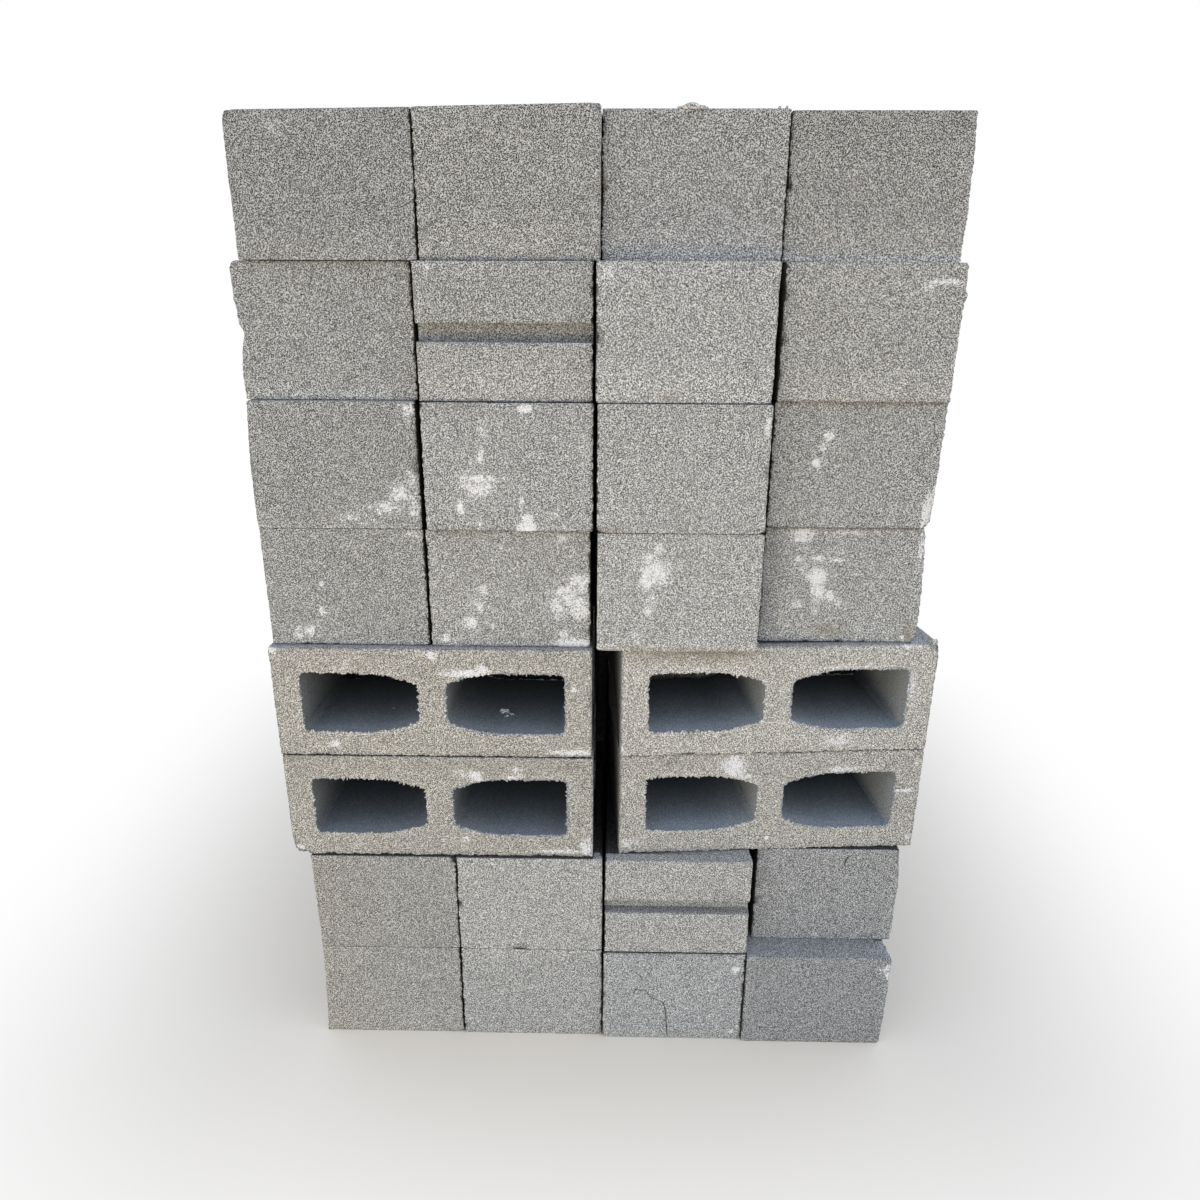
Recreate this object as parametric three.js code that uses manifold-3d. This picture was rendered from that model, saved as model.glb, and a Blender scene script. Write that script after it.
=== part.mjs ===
// A cube of six-inch, two-core hollow concrete blocks, laid dry on their face shells.
// Most courses lie end on: the block ends face the front and the cores run across the cube.
// The third and fourth courses lie crosswise: their cores run from front to back.
// Millimetres, +Z up, the front faces -Y. The origin is the middle of the cube's base.

import * as THREE from 'three';
import { mergeVertices } from 'three/addons/utils/BufferGeometryUtils.js';
import Module from 'manifold-3d';

const wasm = await Module();
wasm.setup();

// One block: its cores run along its height.
const blockLength = 397;
const blockThickness = 143;
const blockHeight = 194;
const endWeb = 33;
const centreWeb = 33;
const faceShell = 31;
const edgeChamfer = 3;

// A core: straight by the end web, drawn in along a curve towards the centre web, and tapered
// along its run. The bend is how far along the curve its two slopes meet.
const coreEndRadius = 10;
const coreCentreRadius = 8;
const coreFlare = 11.5;
const coreFlareLength = 68;
const coreFlareBend = 0.43;
const coreTaper = 3;
const curveSteps = 4;

// A sash end has one groove along the block's height, in the middle of its thickness.
const grooveWidth = 19;
const grooveDepth = 19;

// The cube.
const columns = 4;
const lengthsDeep = 3;
const rowsDeep = 6;
const sideJoint = 3.5;
const backJoint = 3;
const bedJoint = 0.3;
const centreGap = 30;
const jointDepth = 15;

const SASH = true;

// Courses from the bottom up. Each front block stands out from the datum plane, or back from it
// where the value is negative, and lies to the right of its regular place by its shift.
const courses = [
  { endOn: true, front: [set(19, 8), set(20, 7), set(25, 6), set(29, 4)] },
  { endOn: true, front: [set(19, 9), set(20, 7), set(22, 7, 0, SASH), set(-16, 15)] },
  { endOn: false, front: [set(14, 7), set(-13, 11, 4.5)] },
  { endOn: false, front: [set(12, 5), set(-10, 11, 5)] },
  { endOn: true, front: [set(-3, -11), set(-1, -11), set(12, -6), set(-33, -3)] },
  { endOn: true, front: [set(-2, -10), set(7, -8), set(13, -7), set(-25, -3)] },
  { endOn: true, front: [set(-16, -10), set(-1, -9, 0, SASH), set(9, -9), set(-16, -3)] },
  { endOn: true, front: [set(-9, 1), set(-10, -2), set(-28, -4), set(-38, -5)] },
];

function set(out, shift, turnDegrees = 0, sash = false) {
  return { out, shift, turn: THREE.MathUtils.degToRad(turnDegrees), sash };
}

// ---------------------------------------------------------------- solids

function toSolid(geometry) {
  geometry.deleteAttribute('normal');
  geometry.deleteAttribute('uv');
  const merged = mergeVertices(geometry);
  return new wasm.Manifold(new wasm.Mesh({
    numProp: 3,
    vertProperties: new Float32Array(merged.attributes.position.array),
    triVerts: new Uint32Array(merged.index.array),
  }));
}

function toGeometry(solid) {
  const mesh = solid.getMesh();
  const geometry = new THREE.BufferGeometry();
  geometry.setAttribute('position', new THREE.BufferAttribute(mesh.vertProperties, 3));
  geometry.setIndex(new THREE.BufferAttribute(mesh.triVerts, 1));
  geometry.computeVertexNormals();
  return geometry;
}

// ---------------------------------------------------------------- block profile

// The block seen along its cores, centred on its length and resting on its lower shell.
// A row of several lengths is one outline.
function outline(lengths, sash) {
  const half = rowLength(lengths) / 2;
  const top = blockThickness;
  const c = edgeChamfer;
  const shape = new THREE.Shape();
  shape.moveTo(-half + c, 0);
  shape.lineTo(half - c, 0);
  shape.lineTo(half, c);
  shape.lineTo(half, top - c);
  shape.lineTo(half - c, top);
  shape.lineTo(-half + c, top);
  shape.lineTo(-half, top - c);
  if (sash) {
    shape.lineTo(-half, (top + grooveWidth) / 2);
    shape.lineTo(-half + grooveDepth, (top + grooveWidth) / 2);
    shape.lineTo(-half + grooveDepth, (top - grooveWidth) / 2);
    shape.lineTo(-half, (top - grooveWidth) / 2);
  }
  shape.lineTo(-half, c);
  shape.closePath();
  return shape;
}

function rowLength(lengths) {
  return lengths * blockLength + (lengths - 1) * backJoint;
}

// One core, from its end web (u = 0) to the centre web (u = width). The side says which way
// the centre web lies: +1 for the core on the left, -1 for the one on the right.
function coreShape(side, blockCentre) {
  const width = (blockLength - centreWeb) / 2 - endWeb;
  const half = blockThickness / 2 - faceShell;
  const start = blockCentre - side * (width + centreWeb / 2);
  const middle = blockThickness / 2;
  const at = (u, v) => [start + side * u, middle + v];
  const flareStart = width - coreFlareLength;
  const flareEnd = width - coreCentreRadius;
  const bend = flareStart + coreFlareBend * (flareEnd - flareStart);
  const narrow = half - coreFlare;
  const corner = narrow - coreCentreRadius * coreFlare / (flareEnd - bend);
  const straight = corner - coreCentreRadius;
  const shape = new THREE.Shape();
  shape.moveTo(...at(coreEndRadius, -half));
  shape.lineTo(...at(flareStart, -half));
  shape.quadraticCurveTo(...at(bend, -half), ...at(flareEnd, -narrow));
  shape.quadraticCurveTo(...at(width, -corner), ...at(width, -straight));
  shape.lineTo(...at(width, straight));
  shape.quadraticCurveTo(...at(width, corner), ...at(flareEnd, narrow));
  shape.quadraticCurveTo(...at(bend, half), ...at(flareStart, half));
  shape.lineTo(...at(coreEndRadius, half));
  shape.quadraticCurveTo(...at(0, half), ...at(0, half - coreEndRadius));
  shape.lineTo(...at(0, -half + coreEndRadius));
  shape.quadraticCurveTo(...at(0, -half), ...at(coreEndRadius, -half));
  return shape;
}

function extrude(shape, depth) {
  return new THREE.ExtrudeGeometry(shape, { depth, bevelEnabled: false, curveSegments: curveSteps });
}

// A core's plug, smaller by the taper all round at its far end.
function corePlug(shape, depth) {
  const geometry = extrude(shape, depth);
  geometry.computeBoundingBox();
  const centre = geometry.boundingBox.getCenter(new THREE.Vector3());
  const size = geometry.boundingBox.getSize(new THREE.Vector3());
  const position = geometry.attributes.position;
  for (let i = 0; i < position.count; i++) {
    if (position.getZ(i) > depth / 2) continue;
    position.setX(i, centre.x + (position.getX(i) - centre.x) * (1 - 2 * coreTaper / size.x));
    position.setY(i, centre.y + (position.getY(i) - centre.y) * (1 - 2 * coreTaper / size.y));
  }
  return geometry;
}

// A hollow solid standing on z = 0 with its front on y = 0 and its cores along Y.
function hollow(lengths, depth, sash, taper) {
  let solid = toSolid(extrude(outline(lengths, sash), depth));
  for (let i = 0; i < lengths; i++) {
    const blockCentre = (i - (lengths - 1) / 2) * (blockLength + backJoint);
    for (const side of [1, -1]) {
      const shape = coreShape(side, blockCentre);
      solid = solid.subtract(toSolid(taper ? corePlug(shape, depth) : extrude(shape, depth)));
    }
  }
  return toGeometry(solid).translate(0, 0, -depth).rotateX(Math.PI / 2);
}

// Turns a solid of cores along Y into one with cores along X and its front on y = 0.
function endOn(geometry, lengths, depth) {
  return geometry.rotateZ(Math.PI / 2).translate(depth / 2, rowLength(lengths) / 2, 0);
}

// Cuts the joint between two blocks into every outer face of a fused solid.
function cutJoint(solid, box, axis, place) {
  const size = box.getSize(new THREE.Vector3());
  const centre = box.getCenter(new THREE.Vector3());
  const gap = axis === 'x' ? sideJoint : backJoint;
  const outer = size.clone().addScalar(jointDepth);
  const inner = size.clone().subScalar(2 * jointDepth);
  outer[axis] = gap;
  inner[axis] = 2 * gap;
  centre[axis] = place;
  const [ring, kept] = [outer, inner].map((part) => toSolid(
    new THREE.BoxGeometry(part.x, part.y, part.z).translate(centre.x, centre.y, centre.z)));
  return solid.subtract(ring.subtract(kept));
}

function cutJoints(geometry, axis, count, pitch) {
  geometry.computeBoundingBox();
  const box = geometry.boundingBox;
  const middle = box.getCenter(new THREE.Vector3())[axis];
  let solid = toSolid(geometry);
  for (let i = 1; i < count; i++) solid = cutJoint(solid, box, axis, middle + (i - count / 2) * pitch);
  return toGeometry(solid);
}

// ---------------------------------------------------------------- pieces

const concrete = {
  front: new THREE.MeshStandardMaterial({ color: '#9b9892', roughness: 0.95, metalness: 0 }),
  rear: new THREE.MeshStandardMaterial({ color: '#94918b', roughness: 0.95, metalness: 0 }),
};

function piece(name, geometry, material) {
  const mesh = new THREE.Mesh(geometry, material);
  mesh.name = name;
  return mesh;
}

function endOnBlock(name, place) {
  return piece(name, endOn(hollow(1, blockHeight, place.sash, true), 1, blockHeight), concrete.front);
}

function crossBlock(name, place) {
  return piece(name, hollow(1, blockHeight, place.sash, true), concrete.front);
}

// The blocks behind the front ones, fused deep in their joints.
function rearEndOn(name) {
  const lengths = lengthsDeep - 1;
  const width = columns * blockHeight + (columns - 1) * sideJoint;
  let geometry = endOn(hollow(lengths, width, false, false), lengths, width);
  geometry = cutJoints(geometry, 'x', columns, blockHeight + sideJoint);
  geometry = cutJoints(geometry, 'y', lengths, blockLength + backJoint);
  return piece(name, geometry, concrete.rear);
}

function rearCross(name) {
  const rows = rowsDeep - 1;
  const depth = rows * blockHeight + (rows - 1) * backJoint;
  const geometry = cutJoints(hollow(1, depth, false, false), 'y', rows, blockHeight + backJoint);
  return piece(name, geometry, concrete.rear);
}

// ---------------------------------------------------------------- courses

function backOf(meshes) {
  const box = new THREE.Box3();
  for (const mesh of meshes) {
    mesh.updateMatrixWorld();
    box.expandByObject(mesh, true);
  }
  return box.max.y;
}

function mean(values) {
  return values.reduce((sum, value) => sum + value, 0) / values.length;
}

function courseName(index) {
  return `course_${index + 1}`;
}

function endOnCourse(course, index) {
  const pitch = blockHeight + sideJoint;
  const blocks = course.front.map((place, i) => {
    const mesh = endOnBlock(`${courseName(index)}_block_${i + 1}`, place);
    mesh.position.set((i - (columns - 1) / 2) * pitch + place.shift, -place.out, 0);
    return mesh;
  });
  const rear = rearEndOn(`${courseName(index)}_rear_blocks`);
  rear.position.set(mean(course.front.map((place) => place.shift)), backOf(blocks) + backJoint, 0);
  return [...blocks, rear];
}

// A turned block turns about the middle of its front face.
function crossCourse(course, index) {
  return course.front.flatMap((place, i) => {
    const side = i === 0 ? -1 : 1;
    const label = i === 0 ? 'left' : 'right';
    const x = side * (blockLength + centreGap) / 2 + place.shift;
    const block = crossBlock(`${courseName(index)}_block_${i + 1}`, place);
    block.position.set(x, -place.out, 0);
    block.rotation.z = place.turn;
    const rear = rearCross(`${courseName(index)}_rear_${label}_blocks`);
    rear.position.set(x, backOf([block]) + backJoint, 0);
    return [block, rear];
  });
}

const cube = new THREE.Group();
cube.name = 'concrete_block_cube';
courses.forEach((course, index) => {
  const level = new THREE.Group();
  level.add(...(course.endOn ? endOnCourse(course, index) : crossCourse(course, index)));
  level.position.z = index * (blockThickness + bedJoint);
  cube.add(level);
});

// The origin is the middle of the base of everything together.
cube.updateMatrixWorld(true);
const extent = new THREE.Box3().setFromObject(cube, true);
const middle = extent.getCenter(new THREE.Vector3());
for (const level of cube.children) {
  level.position.x -= middle.x;
  level.position.y -= middle.y;
}

export default cube;
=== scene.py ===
"""A dry-laid cube of hollow concrete blocks, each with worn arrises, ragged core rims,
lime bloom and stains, on a plain pale floor."""

import math

import bmesh
import bpy
from bpy.props import FloatProperty, FloatVectorProperty, PointerProperty, StringProperty
from mathutils import Matrix, Vector, noise


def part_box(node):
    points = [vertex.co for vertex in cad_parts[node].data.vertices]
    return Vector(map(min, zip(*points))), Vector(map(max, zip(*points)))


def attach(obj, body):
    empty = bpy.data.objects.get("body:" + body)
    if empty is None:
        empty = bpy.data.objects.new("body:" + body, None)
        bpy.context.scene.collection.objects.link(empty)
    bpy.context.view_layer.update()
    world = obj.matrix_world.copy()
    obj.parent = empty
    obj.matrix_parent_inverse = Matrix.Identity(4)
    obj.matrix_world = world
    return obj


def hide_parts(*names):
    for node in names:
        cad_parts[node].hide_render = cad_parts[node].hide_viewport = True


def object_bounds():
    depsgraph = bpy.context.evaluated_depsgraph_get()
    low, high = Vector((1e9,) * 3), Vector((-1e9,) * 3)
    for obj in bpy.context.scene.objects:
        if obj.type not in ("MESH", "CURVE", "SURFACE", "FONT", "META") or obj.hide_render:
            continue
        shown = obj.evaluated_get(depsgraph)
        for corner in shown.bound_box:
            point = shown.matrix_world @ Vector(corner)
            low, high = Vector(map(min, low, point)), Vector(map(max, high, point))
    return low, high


bl_info = {
    "name": "Hollow Concrete Blocks",
    "version": (1, 0, 0),
    "blender": (4, 5, 0),
    "location": "View3D > Sidebar > Blocks",
    "description": "Makes a dry-laid cube of hollow concrete blocks",
    "category": "Add Mesh",
}

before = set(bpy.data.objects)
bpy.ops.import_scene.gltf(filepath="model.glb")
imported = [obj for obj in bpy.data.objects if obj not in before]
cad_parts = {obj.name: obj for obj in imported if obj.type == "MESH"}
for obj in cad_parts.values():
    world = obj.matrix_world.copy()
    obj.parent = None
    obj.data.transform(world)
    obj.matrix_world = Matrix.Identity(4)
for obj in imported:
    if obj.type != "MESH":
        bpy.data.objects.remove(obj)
CAD_BOX = [list(corner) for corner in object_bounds()]

MM = 0.001
COLUMNS = 4
REAR_LENGTHS = 2
REAR_ROWS = 5
COURSES = range(1, 9)
CROSSWISE_COURSES = (3, 4)
END_ON_COURSES = [course for course in COURSES if course not in CROSSWISE_COURSES]
SASH_BLOCKS = ("course_2_block_3", "course_7_block_2")
TURNED_BLOCKS = {"course_3_block_2": 4.5, "course_4_block_2": 5.0}

# The middle joint closes by this many millimetres on each side in the last row, so that no light
# shows through the cube.
CLOSING = 1.6

# A block in millimetres: its length, its height along the cores, and its thickness.
# It is modelled lying on a face shell, centred on the origin, with its cores along Y.
low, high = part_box("course_1_block_1")
BLOCK = Vector((high[1] - low[1], high[0] - low[0], high[2] - low[2])) / MM
HALF = BLOCK / 2

# The block's faces: which axis they cross, and on which side. The ends and shells are cast
# against the steel mould, and the caps are where the mix is filled, tamped and stripped.
END_FRONT = (0, -1)
END_BACK = (0, 1)
CAP_FRONT = (1, -1)
CAP_BACK = (1, 1)
SHELL_TOP = (2, 1)

MATERIALS = ("moulded_concrete", "tamped_concrete", "cored_concrete")
MOULDED, TAMPED, CORED = range(3)


# ------------------------ settings


def number(name, description, default, **kind):
    return FloatProperty(name=name, description=description, default=default, **kind)


def numbers(name, description, default, **kind):
    kind["size"] = len(default)
    return FloatVectorProperty(name=name, description=description, default=default, **kind)


def colour(name, description, default):
    return StringProperty(name=name, description=description, default=default)


class BlockSettings(bpy.types.PropertyGroup):
    """Sizes inside one block, in millimetres."""

    end_web: number("End web", "Thickness of the two end webs", 33.0)
    centre_web: number("Centre web", "Thickness between the cores", 33.0)
    face_shell: number("Face shell", "Thickness of the face shells", 31.0)
    end_bend: number("End bend", "Corner size by the end web", 10.0)
    centre_bend: number("Centre bend", "Corner size by the centre web", 8.0)
    flare: number("Flare", "How far a core narrows by the centre web", 11.5)
    flare_length: number("Flare length", "Stretch in which it narrows", 68.0)
    flare_bend: number("Flare bend", "Where along it its slopes meet", 0.43)
    taper: number("Taper", "How much smaller a core's far end is", 1.0)
    groove: number("Sash groove", "Width and depth of the groove", 19.0)


class WearSettings(bpy.types.PropertyGroup):
    """How the arrises and core rims are worn, the painted shade of the top course, the joints and
    the cores, and how finely they are cut, in millimetres.
    """

    mould_edge: number("Moulded arris", "Rounding of a moulded arris", 0.9)
    cap_edge: number("Cap arris", "Rounding of a crumbly cap arris", 1.9)
    nibble: number("Nibble", "Depth of the lost grains along an arris", 3.2)
    bite: number("Bite", "Depth of the teeth along a cap arris", 3.2)
    chip: number("Chip", "Depth of the knocked-off chips", 7.0)
    rim: number("Core rim", "Depth of the teeth along a core rim", 3.0)
    fin: number("Fin", "How far the second row's core mouths are drawn in", 3.2)
    sway: number("Sway", "How far a cap strays from flat", 1.3)
    # Painted shade: how much darker the top course is drawn.
    top_course: number("Top course", "Tone of the rained-on top course", 0.92)
    # Painted shade: how dark the faces deep in the joints are drawn.
    joint_shade: number("Soot", "How dark the faces in the joints are", 0.85)
    # Painted shade: how dark the core walls are drawn towards the middle of the cube.
    core_shade: number("Damp", "How dark the core walls are inside the cube", 0.55)
    end_pitch: number("End grid", "Mesh spacing on the front ends", 2.7)
    cap_pitch: number("Cap grid", "Mesh spacing on the front caps", 1.75)
    side_pitch: number("Side grid", "Mesh spacing along other arrises", 5.0)


class ConcreteSettings(bpy.types.PropertyGroup):
    """Colours of the dry-cast concrete, as sRGB hex, and its grain sizes in millimetres."""

    moulded: colour("Moulded face", "Cement and fines", "#9a9996")
    tamped: colour("Tamped cap", "Cement and fines", "#a8a49c")
    # The blue in the core wall colour is painted skylight.
    cored: colour("Core wall", "Cement and fines", "#8a8f94")
    crumb: colour("Crumb", "Freshly broken grains", "#efede6")
    lime: colour("Lime bloom", "Efflorescence", "#eceae6")
    earth: colour("Earth stain", "Brown stain by the joints", "#857a63")
    packing: number("Packing", "Spacing of the sand grains", 1.2)
    sand: number("Sand", "Width of their clusters", 1.15)
    pore: number("Pore", "Spacing of the open pores", 1.6)


class StudioSettings(bpy.types.PropertyGroup):
    """Floor, light and camera."""

    sky: numbers("Sky", "Light from above", (0.87, 0.99, 1.24), subtype="COLOR", max=4.0)
    ground: numbers("Ground", "Light from below", (0.91, 0.78, 0.6), subtype="COLOR", max=4.0)
    lamp_power: number("Front light", "Power of the lamp", 11.5, unit="POWER")
    lamp_place: numbers("Lamp place", "Where the lamp stands", (-0.6, -2.35, 0.2), unit="LENGTH")
    lamp_aim: numbers("Lamp aim", "Where the lamp points", (0.1, -0.6, 0.6), unit="LENGTH")
    lamp_size: numbers("Lamp size", "Width and height of the lamp", (1.2, 0.3), unit="LENGTH")
    lamp_colour: numbers("Lamp colour", "Its warm light", (1.0, 0.92, 0.8), subtype="COLOR")
    shaded: numbers("Shaded floor", "Its colour in the shadow", (0.9, 0.8, 0.65), subtype="COLOR")
    lit: numbers("Lit floor", "Its colour as a light", (0.7, 0.6, 0.45), subtype="COLOR")
    floor_radius: number("Floor radius", "Where the floor ends", 2.2, unit="LENGTH")
    fade: number("Fade", "How far from the cube its shadow fades", 0.7, unit="LENGTH")
    camera_place: numbers("Camera", "Where it stands", (0.0027, -1.7829, 0.962), unit="LENGTH")
    pitch: number("Pitch", "How far it looks down", math.radians(23.08), unit="ROTATION")
    pan: number("Pan", "How far it looks to the side", math.radians(1.1), unit="ROTATION")
    roll: number("Roll", "How far it leans", math.radians(0.22), unit="ROTATION")
    lens: number("Lens", "Focal length on a 36 mm frame", 30.31)
    shift: numbers("Shift", "Lens shift", (0.008, 0.111))


# ------------------------ marks on the front faces

# The middle of an end face, and how far a band across it reaches, in millimetres.
END_MIDDLE, BAND_REACH = 97, 200


def band(up, half_height, strength):
    """A band all across an end face. The pale bands are painted light, and the dark ones painted
    shade, most of them along the joints.
    """
    return END_MIDDLE, up, BAND_REACH, half_height, strength
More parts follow.
